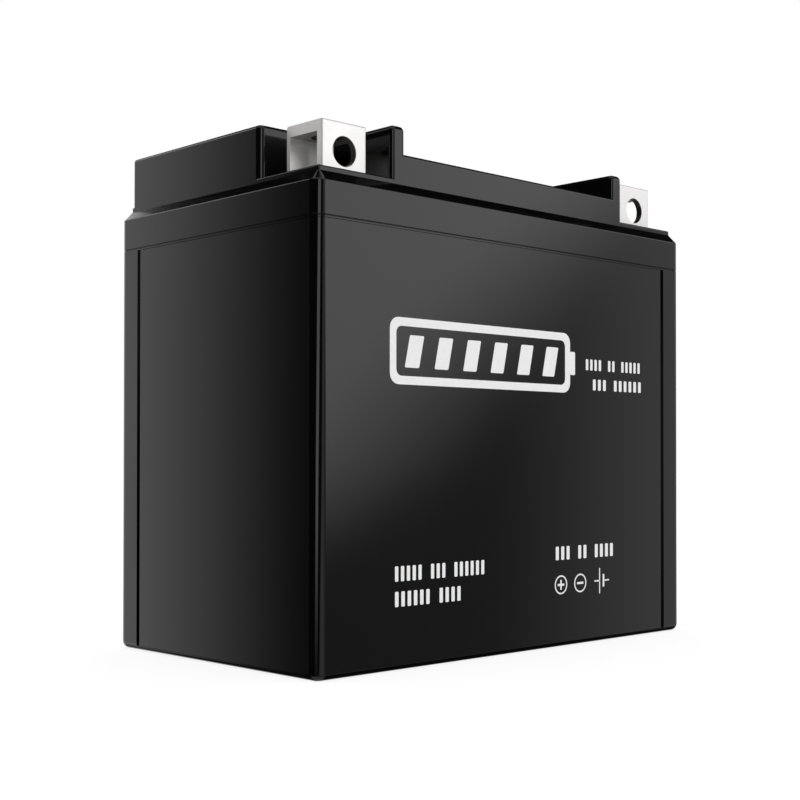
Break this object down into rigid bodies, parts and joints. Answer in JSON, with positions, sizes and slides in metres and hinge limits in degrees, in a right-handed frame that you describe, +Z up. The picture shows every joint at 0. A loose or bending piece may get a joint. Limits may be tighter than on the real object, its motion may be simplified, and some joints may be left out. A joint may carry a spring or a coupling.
{
  "type": "motorcycle battery",
  "caption": "Sealed lead-acid motorcycle battery in a black plastic case, with a stepped lid and square front terminals.",
  "frame": {"origin": "middle of the underside, on the surface the battery stands on", "axes": "+X along the long side, from the negative to the positive terminal; +Z up; the terminals stand at the -Y side"},
  "size_m": [0.114, 0.069, 0.1083],
  "materials": {
    "case_plastic": "satin",
    "lid_plastic": "satin",
    "label_film": "satin",
    "strip_plastic": "satin",
    "vent_plastic": "satin",
    "valve_rubber": "matte",
    "porous_disc": "matte",
    "terminal_metal": "satin",
    "potting": "gloss",
    "lead": "matte",
    "negative_plate": "matte",
    "positive_plate": "matte",
    "glass_mat": "matte"
  },
  "bodies": {
    "battery": {"container": "case_plastic", "wrap_label": "label_film", "lid": "lid_plastic", "flame_arrestor_disc": "porous_disc", "vent_cover": "vent_plastic", "negative_terminal": "terminal_metal", "positive_terminal": "terminal_metal", "negative_post_seal": "valve_rubber", "positive_post_seal": "valve_rubber", "negative_epoxy_seal": "potting", "positive_epoxy_seal": "potting", "cell_1_negative_plates": "negative_plate", "cell_1_positive_plates": "positive_plate", "cell_1_separators": "glass_mat", "cell_1_positive_strap": "lead", "cell_1_negative_strap": "lead", "cell_2_negative_plates": "negative_plate", "cell_2_positive_plates": "positive_plate", "cell_2_separators": "glass_mat", "cell_2_positive_strap": "lead", "cell_2_negative_strap": "lead", "cell_3_negative_plates": "negative_plate", "cell_3_positive_plates": "positive_plate", "cell_3_separators": "glass_mat", "cell_3_positive_strap": "lead", "cell_3_negative_strap": "lead", "cell_4_negative_plates": "negative_plate", "cell_4_positive_plates": "positive_plate", "cell_4_separators": "glass_mat", "cell_4_positive_strap": "lead", "cell_4_negative_strap": "lead", "cell_5_negative_plates": "negative_plate", "cell_5_positive_plates": "positive_plate", "cell_5_separators": "glass_mat", "cell_5_positive_strap": "lead", "cell_5_negative_strap": "lead", "cell_6_negative_plates": "negative_plate", "cell_6_positive_plates": "positive_plate", "cell_6_separators": "glass_mat", "cell_6_positive_strap": "lead", "cell_6_negative_strap": "lead", "intercell_weld_1": "lead", "intercell_weld_2": "lead", "intercell_weld_3": "lead", "intercell_weld_4": "lead", "intercell_weld_5": "lead"},
    "filler_strip": {"sealing_cap_strip": "strip_plastic"},
    "relief_valve": {"relief_valve_cap": "valve_rubber"}
  },
  "joints": [
    {"name": "filler_strip_lift", "type": "slide", "parent": "battery", "child": "filler_strip", "axis": [0, 0, 1], "range_m": [0, 0.012]},
    {"name": "relief_valve_lift", "type": "slide", "parent": "battery", "child": "relief_valve", "axis": [0, 0, 1], "range_m": [0, 0.0008], "stiffness_N_per_m": 600, "springref_m": -0.0008}
  ]
}
